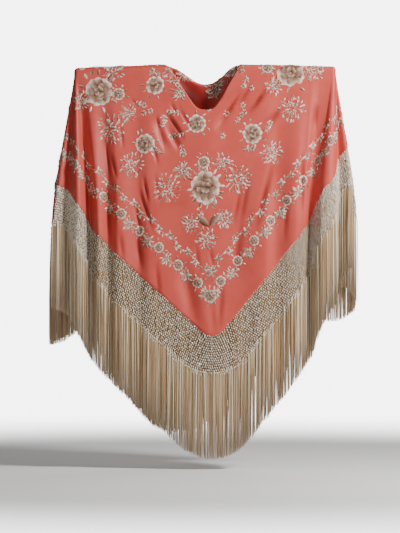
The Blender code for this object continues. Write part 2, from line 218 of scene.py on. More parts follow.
# the level top, with its rounded edge and drooping ends
HALF_SPAN, HALF_DEPTH, EDGE_ROUND = 0.456, 0.048, 0.012
EDGE_LENGTH = EDGE_ROUND * math.pi / 2
LEFT_DROOP, RIGHT_DROOP, DROOP_START = 0.0126, 0.0070, 0.149
CORNER_SHARE = 0.10

# the neck: its sagging back edge, the scoop's front edge, and the chute between the two
NECK_MIDDLE = 0.004
CREST_SAG, CREST_REACH_LEFT, CREST_REACH_RIGHT = 0.067, 0.150, 0.128
SCOOP_DEPTH, SCOOP_REACH_LEFT, SCOOP_REACH_RIGHT, SCOOP_STEEPNESS = 0.163, 0.138, 0.122, 1.33
CREST_ROUND, CREST_ROUND_SHARE, CREST_FADE, SAG_LENGTH = 0.014, 0.3, 0.03, 0.5
SCOOP_BOTTOM_ROUND, STEEP_DROP = 0.08, 0.06
SOFT_MIDDLE = (0.03, 0.075)
CHUTE_TURN_SHARE, CHUTE_STEEP_DROP = 0.18, 0.03
CHUTE_IN, CHUTE_OUT_CRISP, CHUTE_OUT_SOFT = (-0.10, -2.4), (-0.06, 0.05, 0.8), 0.3

# the ring 0.45 m down, where the folds are known, and how the cloth spreads out to it
RING_FALL = 0.45
FAN = RING_FALL * math.pi / 2
LOOP = 4 * HALF_SPAN + 4 * HALF_DEPTH + 4 * FAN
SPREAD_START, SPREAD_BEND, PLUMB_GROWTH = 0.02, 0.12, 0.2
STEEPEST_LEAN = 0.9

# %% [markdown]
# Each row of the fold table is a ridge or a valley of the hanging cloth. The part and the place say
# where its cloth comes from, in millimetres from the middle or in degrees round a corner; x and y
# where it hangs 0.45 m down, in millimetres; heading which way the cloth runs there, in degrees;
# full how round the fold is; and rise how far a slanting pull lifts it.

# %% Folds
FOLD_TABLE = {
    "left back": (
        (6, -404, 88, 190, 0.6, 0), (23, -464, 158, 215, 0.8, 0), (42, -436, 96, 235, 0.6, 0),
        (62, -536, 116, 250, 0.9, 0), (82, -418, 60, 268, 0.7, 0),
    ),
    "left front": (
        (84, -552, 42, 270, 1.0, 0), (63, -432, 18, 275, 0.6, 0), (42, -538, -80, 305, 0.8, 0),
        (27, -489, -54, 345, 0.35, 0), (11, -452, -106, 355, 0.8, 0),
    ),
    "front": (
        (-456, -411, -40, 0, 0.6, 0), (-418, -382, -92, 0, 0.9, 0), (-372, -346, -66, 0, 0.7, 0),
        (-328, -308, -90, 0, 1.0, 0), (-252, -240, -74, 0, 0.8, 0), (-205, -196, -86, 0, 1.0, 0),
        (-100, -97, -80, 0, 1.0, 0), (10, 10, -84, 0, 1.0, 0), (120, 116, -79, 0, 1.0, 0),
        (225, 214, -88, 0, 1.0, 0), (272, 256, -77, 0, 1.0, 0), (345, 322, -94, 0, 1.0, 0),
        (383, 352, -84, 0, 0.9, 0), (415, 377, -48, 0, 0.7, 0),
    ),
    "right front": (
        (9, 436, -108, 8, 1.3, 5), (27, 481, -52, 15, 0.35, 30), (43, 530, -80, 55, 0.8, 45),
        (62, 430, 16, 85, 0.6, 30), (82, 546, 40, 90, 1.0, 10),
    ),
    "right back": (
        (82, 418, 60, 92, 0.7, 0), (62, 530, 114, 112, 0.9, 0), (42, 436, 96, 125, 0.6, 0),
        (22, 464, 154, 145, 0.8, 0), (5, 402, 88, 170, 0.6, 0),
    ),
    "back": (
        (-425, -372, 110, 180, 0.8, 0), (410, 376, 104, 180, 0.9, 0), (345, 320, 72, 180, 0.9, 0),
        (270, 254, 97, 180, 1.0, 0), (185, 177, 80, 180, 1.0, 0), (75, 73, 92, 180, 1.0, 0),
        (-45, -43, 81, 180, 1.0, 0), (-150, -145, 94, 180, 1.0, 0), (-235, -222, 76, 180, 1.0, 0),
        (-310, -289, 100, 180, 1.0, 0), (-375, -345, 74, 180, 0.9, 0),
    ),
}


# %% [markdown]
# The rows are put in order round the loop, and the last and the first are repeated beyond the seam,
# so that the curve through them closes.

# %% Folds round the loop
def loop_place(part, place):
    """Where a ray of the cloth lies on the loop round the arms, in metres."""
    if part == "front":
        return place / 1000
    if part == "back":
        return math.copysign(LOOP / 2 - abs(place) / 1000, place)
    side = -1.0 if part.startswith("left") else 1.0
    if part.endswith("front"):
        return side * (HALF_SPAN + RING_FALL * math.radians(place))
    return side * (LOOP / 2 - HALF_SPAN - RING_FALL * math.radians(place))


def fold_arrays():
    """The folds in order round the loop, as one array for each thing that the shape needs."""
    rows = sorted((loop_place(part, row[0]), *row[1:]) for part, rows in FOLD_TABLE.items() for row in rows)
    loops, x, y, headings, full, rise = np.array([rows[-1]] + rows + [rows[0]]).T
    loops[0] -= LOOP
    loops[-1] += LOOP
    ways = np.radians(headings)
    return {"loop": loops, "place": np.stack([x, y], axis=1) / 1000,
            "way": np.stack([np.cos(ways), np.sin(ways)], axis=1), "full": full, "rise": rise / 1000}


FOLDS = fold_arrays()
print(len(FOLDS["loop"]) - 2, "folds round", round(LOOP, 3), "m of loop")

# %% [markdown]
# Small creases run across the front, most of them from the neck, where the cloth is pulled down
# into the scoop. Each is a soft trough from one point to another, as seen from the front: its row
# holds x and z of both ends, its width and its depth, in millimetres. The six broad ones are in the
# solids too, and the fine ones are only here.

# %% Creases
BROAD_CREASES = (
    (-150, -170, -85, -310, 16, 12), (-185, -185, -125, -320, 14, 10), (100, -150, 35, -240, 16, 8),
    (225, -70, 50, -250, 22, 7), (-85, -700, -30, -965, 28, 16), (18, -850, 32, -975, 14, 6),
)
FINE_CREASES = (
    (-139, -169, -70, -274, 6, 9), (-149, -212, -85, -310, 6, 8), (-176, -184, -164, -223, 4, 5),
    (-167, -230, -142, -302, 5, 6), (-124, -137, -97, -187, 5, 6), (-97, -151, -43, -241, 5, 5),
    (-185, -299, -167, -356, 5, 6), (-270, -122, -238, -148, 4, 5), (-304, -209, -293, -302, 5, 5),
    (-355, -274, -337, -425, 6, 7), (-337, -317, -315, -414, 5, 6), (-238, -443, -185, -598, 6, 8),
    (-221, -400, -200, -504, 5, 7), (-252, -500, -227, -616, 6, 6), (-180, -389, -162, -508, 6, 4),
    (-245, -594, -227, -738, 10, 7), (14, -659, 32, -727, 6, 5), (-349, -421, -338, -641, 9, 7),
    (-176, -709, -162, -846, 9, 5), (-306, -594, -292, -709, 8, 5), (76, -72, 47, -137, 6, 6),
    (130, -97, 50, -212, 7, 7), (169, -68, 112, -155, 7, 6), (220, -88, 175, -147, 7, 6),
    (205, -112, 151, -176, 7, 6), (268, -168, 216, -230, 7, 6), (281, -155, 194, -220, 8, 5),
    (399, -140, 390, -230, 8, 6), (241, -349, 205, -508, 10, 6), (130, -565, 104, -760, 14, 6),
    (129, -440, 100, -575, 8, 5), (158, -400, 120, -590, 9, 5), (222, -420, 178, -600, 10, 6),
    (347, -306, 346, -540, 7, 6), (61, -781, 50, -954, 10, 5), (295, -472, 281, -630, 9, 4),
    (-32, -652, -22, -738, 8, 4),
)
BACK_CREASES = (
    (-170, -150, -80, -330, 16, 8), (160, -150, 70, -320, 16, 8), (-110, -140, -60, -260, 8, 4),
    (110, -130, 60, -250, 8, 4), (60, -620, 20, -860, 24, 10), (-90, -520, -60, -760, 14, 5),
    (230, -330, 220, -560, 12, 5),
)


def crease_depth(creases, x, z):
    """How far the creases press the cloth in, at places seen from the front."""
    pressed = np.zeros_like(x)
    for x0, z0, x1, z1, width, depth in np.array(creases) / 1000:
        along = np.array([x1 - x0, z1 - z0])
        length = np.linalg.norm(along)
        to_x, to_z = x - x0, z - z0
        share = (to_x * along[0] + to_z * along[1]) / length ** 2
        side = (to_x * along[1] - to_z * along[0]) / length / width
        pressed += depth * np.sin(np.pi * np.clip(share, 0.0, 1.0)) * np.exp(-side * side)
    return pressed


# %% [markdown]
# Four small functions do the sums that come back everywhere: an even step, a mix of two values, a
# curve between two points, and a place of the loop brought back to one turn.

# %% Steps, mixes and curves
def smooth(value, low=0.0, high=1.0):
    """An even step from 0 to 1 as value goes from low to high."""
    t = np.clip((value - low) / (high - low), 0.0, 1.0)
    return t * t * (3.0 - 2.0 * t)


def mix(start, end, share):
    return start + (end - start) * share


def curve(start, way_in, end, way_out, share):
    """The point at a share of a smooth curve that has these two ends and these ways through them."""
    square, cube = share ** 2, share ** 3
    return (start * (2 * cube - 3 * square + 1) + way_in * (cube - 2 * square + share)
            + end * (3 * square - 2 * cube) + way_out * (cube - square))


def wrapped(loop):
    """The same place of the loop, between -LOOP / 2 and LOOP / 2."""
    return (loop + LOOP / 2) % LOOP - LOOP / 2


# %% [markdown]
# The next functions follow one another as the cloth does: over the rounded edge of the top, out to
# the folds of the ring, and plumb below it. Arms droop a little, so the ends of the top do too.

# %% From the top's edge to the ring
def top_edge(loop):
    """The edge of the top's flat part seen from above, and the way out of it: two arrays of x, y."""
    side, along = np.where(loop < 0, -1.0, 1.0), np.abs(loop)
    end_length = LOOP / 2 - 2 * HALF_SPAN
    share = np.clip((along - HALF_SPAN) / end_length, 0.0, 1.0)
    across = np.clip((share - CORNER_SHARE) / (1.0 - 2 * CORNER_SHARE), 0.0, 1.0)
    turned = np.minimum(1.0, share / CORNER_SHARE) + np.maximum(0.0, 1.0 - (1.0 - share) / CORNER_SHARE)
    angle = np.pi / 2 * turned
    x = side * np.minimum(np.minimum(along, HALF_SPAN), LOOP / 2 - along)
    edge = np.stack([x, mix(-HALF_DEPTH, HALF_DEPTH, across)], axis=-1)
    out = np.stack([side * np.sin(angle), -np.cos(angle)], axis=-1)
    return edge, out


def droop(x):
    """How far the arms hang below level at x."""
    reach = (np.abs(x) - DROOP_START) / (HALF_SPAN - DROOP_START)
    return np.where(x < 0, LEFT_DROOP, RIGHT_DROOP) * np.maximum(0.0, reach)


def on_ring(loop):
    """Where the cloth hangs on the ring, and its rise, on a smooth curve through the folds."""
    index = np.clip(np.searchsorted(FOLDS["loop"], loop) - 1, 0, len(FOLDS["loop"]) - 2)
    before, cloth = FOLDS["loop"][index], FOLDS["loop"][index + 1] - FOLDS["loop"][index]
    share = ((loop - before) / cloth)[..., None]
    start, end = FOLDS["place"][index], FOLDS["place"][index + 1]
    ways = []
    for row in (index, index + 1):
        way = FOLDS["way"][row]
        along = np.abs(((end - start) * way).sum(axis=-1))
        ways.append(way * (FOLDS["full"][row] * (cloth + along) / 2)[..., None])
    rise = mix(FOLDS["rise"][index], FOLDS["rise"][index + 1], smooth(share[..., 0]))
    return curve(start, ways[0], end, ways[1], share), rise


def spread(fall):
    """How much of its way out to the ring's place the cloth has gone at a fall, 1 on the ring."""
    share = (np.hypot(fall, SPREAD_START) - SPREAD_START) / RING_FALL
    slowed = SPREAD_BEND * np.log1p(np.exp((share - 1) / SPREAD_BEND))
    return share - (1 - PLUMB_GROWTH) * slowed


# %% [markdown]
# Nothing carries the cloth between the arms. Behind the neck its edge sags in a soft arc, and in
# front it hangs in a V whose lower point is rounded: the scoop.

# %% The neck's two edges
def crest_height(x):
    """How high the back edge of the scoop stands at x: 0 on the arms, and lowest at the neck."""
    reach = np.where(x < NECK_MIDDLE, CREST_REACH_LEFT, CREST_REACH_RIGHT)
    share = np.minimum(1.0, np.abs(x - NECK_MIDDLE) / reach)
    return -CREST_SAG * (1 + np.cos(np.pi * share)) / 2


def scoop_height(x):
    """How high the scoop's front edge stands at x."""
    reach = np.where(x < NECK_MIDDLE, SCOOP_REACH_LEFT, SCOOP_REACH_RIGHT)
    share = SCOOP_STEEPNESS * (1 - np.abs(x - NECK_MIDDLE) / reach)
    deep = share - SCOOP_BOTTOM_ROUND * np.log1p(np.exp((share - 1) / SCOOP_BOTTOM_ROUND))
    return -np.hypot(EDGE_ROUND, SCOOP_DEPTH * np.maximum(0.0, deep))


def lip_fall(x):
    """The fall at which the cloth comes over the scoop's front edge at x."""
    return EDGE_LENGTH - EDGE_ROUND - scoop_height(x)


# %% [markdown]
# Below the edge a point goes out towards its place on the ring. A slanting cloth doesn't reach as
# far down as a plumb one, so it is lifted by what the slant takes up. Then the creases press it in.

# %% Below the top's edge
def hanging(loop, fall):
    """The place of points below the top's edge, where nothing sags."""
    edge, out = top_edge(loop)
    turn = np.minimum(fall, EDGE_LENGTH) / EDGE_ROUND
    place = edge + out * (EDGE_ROUND * np.sin(turn))[..., None]
    z = -EDGE_ROUND * (1 - np.cos(turn)) - droop(edge[..., 0])
    below = np.maximum(0.0, fall - EDGE_LENGTH)
    ring, rise = on_ring(loop)
    slant = ring - place
    lean = np.minimum(STEEPEST_LEAN, np.linalg.norm(slant, axis=-1) / RING_FALL)
    lift = rise + RING_FALL * (1 - np.sqrt(1 - lean * lean))
    share = np.where(fall > EDGE_LENGTH, spread(below), 0.0)
    place = place + slant * share[..., None]
    z = z + lift * share - below
    front, back = np.abs(loop) < HALF_SPAN, np.abs(loop) > LOOP / 2 - HALF_SPAN
    x, y = place[..., 0], place[..., 1]
    y = y + np.where(front, crease_depth(BROAD_CREASES + FINE_CREASES, x, z), 0.0)
    z = z + np.where(back, crest_height(edge[..., 0]) * (1 - smooth(fall, 0.0, SAG_LENGTH)), 0.0)
    y = y - np.where(back, crease_depth(BACK_CREASES, x, z), 0.0)
    return np.stack([x, y, z], axis=-1)


# %% [markdown]
# In the middle of the front the cloth goes down a chute, which dives from the neck's back edge into
# a pocket and comes up to the scoop's lip. The lip is crisp at its sides and soft in its middle.

# %% Down the scoop
def scoop_place(x, share):
    """Points on the way from the scoop's back edge down to its front edge, at x, as y and z."""
    high = crest_height(x)
    drop = high - scoop_height(x)
    round_size = np.minimum(CREST_ROUND, CREST_ROUND_SHARE * drop)
    turn = np.minimum(1.0, share / CHUTE_TURN_SHARE) * np.pi / 2
    y = HALF_DEPTH - np.sin(turn) * round_size
    z = high + (np.cos(turn) - 1) * round_size
    start = np.stack([HALF_DEPTH - round_size, high - round_size], axis=-1)
    end = hanging(x, lip_fall(x))[..., 1:]
    steep = smooth(drop, 0.0, CHUTE_STEEP_DROP)
    soft = 1 - smooth(np.abs(x - NECK_MIDDLE), *SOFT_MIDDLE)[..., None]
    zero, (forward, least, crisp) = np.zeros_like(drop), CHUTE_OUT_CRISP
    down = np.stack([zero, CHUTE_IN[0] + CHUTE_IN[1] * drop], axis=-1)
    way_in = mix(end - start, down, steep[..., None])
    way_out = mix(np.stack([zero + forward, least * steep + crisp * drop], axis=-1),
                  np.stack([zero, CHUTE_OUT_SOFT * drop], axis=-1), soft)
    along = np.clip((share - CHUTE_TURN_SHARE) / (1 - CHUTE_TURN_SHARE), 0.0, 1.0)[..., None]
    chute = curve(start, way_in, end, way_out, along)
    turning = share < CHUTE_TURN_SHARE
    return np.where(turning, y, chute[..., 0]), np.where(turning, z, chute[..., 1])


# %% [markdown]
# Now any point can be hung: it lies on the top, in the scoop or below the edge. The way out of the
# cloth is found from its near neighbours, for all that is tied or sewn to it.

# %% Any point of the cloth
def draped(loop, fall):
    """The place of any points of the cloth. On the front a fall below 0 lies on top of the arms."""
    loop = wrapped(loop)
    below = hanging(loop, np.maximum(fall, 0.0))
    over = np.stack([loop, -HALF_DEPTH - fall, -droop(loop)], axis=-1)
    on_front = np.abs(loop) <= HALF_SPAN
    level = np.where((on_front & (fall <= 0))[..., None], over, below)
    edge_fall = lip_fall(loop)
    reach = np.where(loop < NECK_MIDDLE, CREST_REACH_LEFT, CREST_REACH_RIGHT)
    sag = 1 - smooth(np.abs(loop - NECK_MIDDLE), reach - CREST_FADE, reach)
    y, z = scoop_place(loop, (fall + 2 * HALF_DEPTH) / (edge_fall + 2 * HALF_DEPTH))
    sagging = mix(level, np.stack([loop, y, z], axis=-1), sag[..., None])
    return np.where((on_front & (fall < edge_fall))[..., None], sagging, level)


def unit(ways):
    """The same ways, each with length 1."""
    return ways / np.maximum(np.linalg.norm(ways, axis=-1, keepdims=True), 1e-12)


def outward(loop, fall):
    """The way out of the cloth at points."""
    aside, lower = 0.004, 0.0005
    along = draped(loop + aside, fall) - draped(loop - aside, fall)
    down = draped(loop, fall + lower) - draped(loop, fall - lower)
    return unit(np.cross(down, along))


# %% [markdown]
# Deep in the scoop and in the creases the silk is lit by little but silk, and each bounce makes the
# red deeper. That shade is painted: a number from 0 to 1 at each point says how deep it lies there,
# and the dye below is painted a darker red by it. In the scoop this painted shade counts on the left
# only, where the light from the right would shine straight in.

# %% Painted shade: how deep a point lies
SCOOP_SHADE_SHARES = (0.09, 0.15, 0.95, 1.0)
SCOOP_SHADE_DROPS, SCOOP_SHADE_LEVELS, SCOOP_SHADE_TOP = (0.005, CHUTE_STEEP_DROP), (0.03, 0.13), 0.55
SHADE_EDGE = 0.05
CREASE_FOR_FULL_SHADE = 0.016


def painted_shade_amount(loop, fall, places):
    """How much painted shade points of the cloth get, by how deep they lie in the scoop or in a crease."""
    loop = wrapped(loop)
    share = (fall + 2 * HALF_DEPTH) / (lip_fall(loop) + 2 * HALF_DEPTH)
    scoop = smooth(share, *SCOOP_SHADE_SHARES[:2]) * (1 - smooth(share, *SCOOP_SHADE_SHARES[2:]))
    scoop *= smooth(crest_height(loop) - scoop_height(loop), *SCOOP_SHADE_DROPS)
    scoop *= mix(SCOOP_SHADE_TOP, 1.0, smooth(-places[..., 2], *SCOOP_SHADE_LEVELS))
    scoop *= 1 - smooth(loop, -SHADE_EDGE, SHADE_EDGE)
    pressed = crease_depth(FINE_CREASES, places[..., 0], places[..., 2]) / CREASE_FOR_FULL_SHADE
    deep = np.where(share < 1, scoop, np.clip(pressed, 0.0, 1.0))
    return np.where(np.abs(loop) < HALF_SPAN, deep, 0.0)


# %% [markdown]
# The same point can be named on the flat cloth, before it is hung: x along the arms and y towards
# the front, from the middle of the top. The hem is known there, as a square with round corners.

# %% From the flat cloth to the hanging cloth
FALL_STEPS = 60


def flat_place(loop, fall):
    """Where points of the hanging cloth lie on the flat cloth."""
    loop = wrapped(loop)
    side, along = np.where(loop < 0, -1.0, 1.0), np.abs(loop)
    ahead = np.clip(along - HALF_SPAN, 0.0, FAN) / RING_FALL
    astern = np.clip(along - HALF_SPAN - FAN - 2 * HALF_DEPTH, 0.0, FAN) / RING_FALL
    angle = ahead + astern
    x = np.minimum(np.minimum(along, HALF_SPAN), LOOP / 2 - along)
    y = HALF_DEPTH - np.clip(along - HALF_SPAN - FAN, 0.0, 2 * HALF_DEPTH)
    return np.stack([side * (x + np.sin(angle) * fall), y + np.cos(angle) * fall], axis=-1)


def hung_place(flat):
    """The loop and the fall of points of the flat cloth."""
    side, along = np.where(flat[..., 0] < 0, -1.0, 1.0), np.abs(flat[..., 0])
    past_end, ahead = along - HALF_SPAN, flat[..., 1] - HALF_DEPTH
    astern = -flat[..., 1] - HALF_DEPTH
    front_fan = HALF_SPAN + RING_FALL * np.arctan2(past_end, ahead)
    back_fan = HALF_SPAN + FAN + 2 * HALF_DEPTH + RING_FALL * np.arctan2(astern, past_end)
    end = HALF_SPAN + FAN - ahead
    loop = np.where(ahead > 0, front_fan, np.where(astern > 0, back_fan, end))
    fall = np.where(ahead > 0, np.hypot(past_end, ahead),
                    np.where(astern > 0, np.hypot(past_end, astern), past_end))
    inside = past_end <= 0
    loop = np.where(inside, np.where(astern > 0, LOOP / 2 - along, along), loop)
    fall = np.where(inside, np.where(astern > 0, astern, ahead), fall)
    return side * loop, fall


def beyond_hem(flat):
    """How far flat points lie outside the hem, less than 0 inside it."""
    turn = math.pi / 4 + TURN
    x, y = flat[..., 0] - SLIP_ALONG, flat[..., 1] - SLIP_FORWARD
    across = np.abs(x * math.cos(turn) - y * math.sin(turn))
    down = np.abs(x * math.sin(turn) + y * math.cos(turn))
    half = CLOTH_SIDE / 2 - CORNER_ROUND
    outside = np.hypot(np.maximum(across - half, 0.0), np.maximum(down - half, 0.0))
    return outside + np.minimum(np.maximum(across, down) - half, 0.0) - CORNER_ROUND


def fall_to(loop, beyond):
    """The fall at which each ray comes to the line that lies `beyond` outside the hem, step by step."""
    fall = np.zeros_like(loop)
    for _ in range(FALL_STEPS):
        fall = fall + beyond - beyond_hem(flat_place(loop, fall))
    return fall


def laid(flat, height):
    """The places of flat points on the hanging cloth, raised by a height above it."""
    loop, fall = hung_place(flat)
    return draped(loop, fall) + outward(loop, fall) * np.asarray(height)[..., None]


# %% [markdown]
# ## The silk
# Silk crepe is thin and limp, so the cloth is one skin with a modifier that gives it a wall. A skin
# could be simulated, but its folds would then land anywhere. Here each point is placed by the
# functions above, and the folds stay where the solids and the net have them.
# Each column of points starts on the top, goes over its edge or down the scoop and ends at the hem.
# The rows are closest where the cloth bends most, under the edge.

# %% Rows of points
FRONT_STEP, OTHER_STEP = 0.0045, 0.011
LIP_ROWS, EDGE_ROWS, PANEL_ROWS = 28, 6, 66
PANEL_CROWDING = 1.3


def even_places(low, high, step):
    """Places from low to high, both included, about a step apart."""
    return np.linspace(low, high, max(1, round((high - low) / step)) + 1)


def panel_falls(loop):
    """Falls from under the top's edge or the scoop's lip to the hem, closer together near the top."""
    near = wrapped(loop)
    lip = np.where(np.abs(near) < HALF_SPAN, lip_fall(near), EDGE_LENGTH)
    share = np.linspace(0.0, 1.0, PANEL_ROWS + 1)[None, :] ** PANEL_CROWDING
    return mix(lip[:, None], fall_to(loop, 0.0)[:, None], share)


def front_falls(loop):
    """Falls over the top or down the scoop, and then down the front."""
    panel = panel_falls(loop)
    lip = panel[:, :1]
    flat_rows = np.linspace(-2 * HALF_DEPTH, 0.0, LIP_ROWS - EDGE_ROWS + 1)
    over_top = np.concatenate([flat_rows, np.linspace(0.0, EDGE_LENGTH, EDGE_ROWS + 1)[1:]])[None, :]
    down_scoop = mix(-2 * HALF_DEPTH, lip, np.linspace(0.0, 1.0, LIP_ROWS + 1)[None, :])
    upper = mix(over_top, down_scoop, smooth(lip, EDGE_LENGTH, STEEP_DROP))
    return np.concatenate([upper[:, :-1], panel], axis=1)


def side_falls(loop):
    """Falls over the edge of the top and down an end or the back."""
    edge_rows = np.linspace(0.0, EDGE_LENGTH, EDGE_ROWS + 1)[None, :-1] + np.zeros((len(loop), 1))
    return np.concatenate([edge_rows, panel_falls(loop)], axis=1)


# %% [markdown]
# The mesh is two grids: one goes over the top and down the front, the other round the ends and the
# back. Their points meet exactly, so merging doubles makes one cloth of them.

# %% Build the cloth
CLOTH_WALL, SAME_PLACE = 0.0012, 1e-5


def add_grid(builder, loops, falls):
    """Adds a grid of points of the hanging cloth, which know their flat place and their painted shade."""
    known = set(builder.verts)
    bmesh.ops.create_grid(builder, x_segments=falls.shape[0] - 1, y_segments=falls.shape[1] - 1, size=1.0)
    grid = [vert for vert in builder.verts if vert not in known]
    spots = loops[:, None] + np.zeros_like(falls)
    places, flats = draped(spots, falls), flat_place(spots, falls)
    # painted shade of each point, on the scoop's left and in the fine creases
    shade_amounts = painted_shade_amount(spots, falls, places)
    layer, painted_shade_layer = builder.verts.layers.float_vector["flat"], builder.verts.layers.float["deep"]
    for vert in grid:
        column = round((vert.co.x + 1) / 2 * (falls.shape[0] - 1))
        row = round((vert.co.y + 1) / 2 * (falls.shape[1] - 1))
        vert.co = places[column, row]
        vert[layer] = (*flats[column, row], 0.0)
        vert[painted_shade_layer] = shade_amounts[column, row]


front_loops = even_places(-HALF_SPAN, HALF_SPAN, FRONT_STEP)
end_loops = even_places(HALF_SPAN, LOOP / 2 - HALF_SPAN, OTHER_STEP)
back_loops = even_places(LOOP / 2 - HALF_SPAN, LOOP / 2 + HALF_SPAN, OTHER_STEP)
other_loops = np.concatenate([end_loops[:-1], back_loops, LOOP - end_loops[::-1][1:]])

cloth_builder = bmesh.new()
cloth_builder.verts.layers.float_vector.new("flat")
cloth_builder.verts.layers.float.new("deep")
add_grid(cloth_builder, front_loops, front_falls(front_loops))
add_grid(cloth_builder, other_loops, side_falls(other_loops))
bmesh.ops.remove_doubles(cloth_builder, verts=cloth_builder.verts[:], dist=SAME_PLACE)
for face in cloth_builder.faces:
    face.smooth = True
cloth = built("shawl_cloth", cloth_builder)
area = sum(face.area for face in cloth.data.polygons)
print("cloth:", len(cloth.data.polygons), "faces,", round(area, 3), "square metres of",
      round(CLOTH_SIDE ** 2, 3))

thickness = cloth.modifiers.new("wall", "SOLIDIFY")
thickness.thickness = CLOTH_WALL
thickness.offset = -1.0

# %% [markdown]
# Silk crepe is woven from hard-twisted threads and has a fine pebbled face, with a soft satin
# sheen. The threads are some 0.2 mm apart, too fine to show here, so the grain is drawn at 1.2 mm.
# The colour is a warm coral that goes a little lighter and darker over the cloth, as dyed silk does.
# Where the cloth lies deep, the red is painted darker and the shine made weaker: painted shade.

# %% Silk crepe
CREPE_GRAIN = 0.0012
DYE_PATCH = 0.12

silk, silk_shader = new_material("silk_crepe", "#CB4D42", 0.47)
flat_silk, deep = noted(silk, "flat", "Vector"), noted(silk, "deep")
dye = output_of(silk, "TexNoise", "Fac", Vector=flat_silk, Scale=1 / DYE_PATCH, Detail=3.0)
grain = output_of(silk, "TexNoise", "Fac", Vector=flat_silk, Scale=1 / CREPE_GRAIN, Detail=1.0)
# painted shade: the dye goes to a darker red where the cloth lies deep, and the shine is lowered there
# below
shade_painted_red = output_of(silk, "MixRGB", "Color", Fac=mapped(silk, deep, (0.0, 0.0), (0.65, 1.0)),
                     Color1=ramp(silk, dye, (0.3, "#C3463B"), (0.7, "#CE5348")),
                     Color2=ramp(silk, deep, (0.6, "#8F1E18"), (1.0, "#55110F")))
feed(silk, silk_shader, Base_Color=shade_painted_red, Sheen_Weight=0.15, Sheen_Roughness=0.4,
     Sheen_Tint=linear("#FFD9D0"), Specular_IOR_Level=mapped(silk, deep, (0.0, 0.38), (1.0, 0.1)),
     Normal=output_of(silk, "Bump", "Normal", Strength=0.12, Distance=0.0005, Height=grain))
cloth.data.materials.append(silk)
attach(cloth, "root")
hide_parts("shawl_front", "shawl_right_end", "shawl_back", "shawl_left_end")

# %% [markdown]
# ## Net and fringe
# The net is thousands of the same small knot and the same short cord, and the fringe thousands of
# the same strand. So each is modelled once, with a few faces, and then copied many times into one
# mesh, whose points are moved to their places all at once. What differs by hand is drawn at random.

# %% Copies of one small shape
rng = np.random.default_rng(1894)


def cord_shape(sides, rings):
    """A tube of a few rings: its points have the side's angle round Z and the ring's number as z."""
    builder = bmesh.new()
    bmesh.ops.create_circle(builder, cap_ends=False, segments=sides, radius=1.0)
    edges = builder.edges[:]
    for _ in range(rings - 1):
        extruded = bmesh.ops.extrude_edge_only(builder, edges=edges)["geom"]
        edges = [part for part in extruded if isinstance(part, bmesh.types.BMEdge)]
        verts = [part for part in extruded if isinstance(part, bmesh.types.BMVert)]
        bmesh.ops.translate(builder, vec=(0.0, 0.0, 1.0), verts=verts)
    bmesh.ops.holes_fill(builder, edges=builder.edges[:])
    bmesh.ops.recalc_face_normals(builder, faces=builder.faces[:])
    return builder


def copies(name, builder, places, material, **values):
    """An object with one copy of the shape for each row of places, which holds all its points.

    Each of the values is an attribute, such as the shade, with one number for each copy or point.
    """
    single = bpy.data.meshes.new("single")
    builder.to_mesh(single)
    many = bmesh.new()
    for _ in range(len(places)):
        many.from_mesh(single)
    bpy.data.meshes.remove(single)
    piece = built(name, many)
    mesh = piece.data
    mesh.vertices.foreach_set("co", np.asarray(places, dtype=np.float32).ravel())
    for title, numbers in values.items():
        attribute = mesh.attributes.new(title, "FLOAT", "POINT")
        if numbers.ndim == 1:
            numbers = np.repeat(numbers, places.shape[1])
        attribute.data.foreach_set("value", numbers.ravel().astype(np.float32))
    mesh.polygons.foreach_set("use_smooth", [True] * len(mesh.polygons))
    mesh.materials.append(material)
    mesh.update()
    return piece


# %% [markdown]
# A cord's ring stands square to its path, so it needs two ways across the path at every ring.

# %% Cords along paths
NEAR_AHEAD = np.array([0.001, 1.001, 0.001])


def along_cords(builder, paths, radii):
    """Puts the points of a cord shape on paths: an array of cords, rings and x, y, z."""
    shape = np.array([vert.co for vert in builder.verts])
    ring = np.rint(shape[:, 2]).astype(int)
    way = unit(np.gradient(paths, axis=1))
    aside = unit(np.cross(way, NEAR_AHEAD))
    ahead = np.cross(way, aside)
    reach = np.broadcast_to(radii, paths.shape[:2])[:, ring, None]
    off = aside[:, ring] * shape[None, :, :1] + ahead[:, ring] * shape[None, :, 1:2]
    return paths[:, ring] + reach * off


# %% [markdown]
# The net starts at the hem, where silk cords are tied into it, one every 8 mm. Neighbours are
# knotted together row by row, each row half a step aside of the last, so the cords make small
# diamonds. The lowest row has gaps, so that the net's edge isn't quite even.

# %% Places of the knots
KNOT_STEP, ROW_STEP = 0.008, 0.0087
NET_ROWS = 17
POINT_WIDTH, POINT_ROWS = 14, 1
HEM_SAMPLES = 12001

hem_loops = np.linspace(-LOOP / 2, LOOP / 2, HEM_SAMPLES)
hem_points = flat_place(hem_loops, fall_to(hem_loops, NET_DEPTH / 2))
hem_lengths = np.concatenate([[0.0], np.cumsum(np.linalg.norm(np.diff(hem_points, axis=0), axis=1))])
KNOT_COLUMNS = int(hem_lengths[-1] / KNOT_STEP / POINT_WIDTH) * POINT_WIDTH


def net_places(column, row):
    """The loop and the fall of the net at columns and rows, which may be fractions."""
    length = (column % KNOT_COLUMNS) / KNOT_COLUMNS * hem_lengths[-1]
    loop = np.interp(length, hem_lengths, hem_loops)
    return loop, row * ROW_STEP


print("net:", KNOT_COLUMNS, "cords round the hem,", round(hem_lengths[-1], 2), "m along its middle")

# %% [markdown]
# Each cord zigzags down the net: a knot ties it to its right-hand neighbour, the next one to its
# left-hand neighbour. Under its last knot it hangs plumb. So the knots' places are worked out first,
# then the cords are led through them. The hand of the knotter shows in small uneven steps, and the
# knots slant, the other way on the right half, so that they don't line up into ropes.

# %% Knots and cords of the net
KNOT_UNEVEN = 0.0007
KNOT_SIZE = (0.0021, 0.0044, 0.0021)
KNOT_SLANT = math.radians(30.0)
CORD_RADIUS, CORD_BEHIND = 0.0028, 0.0030

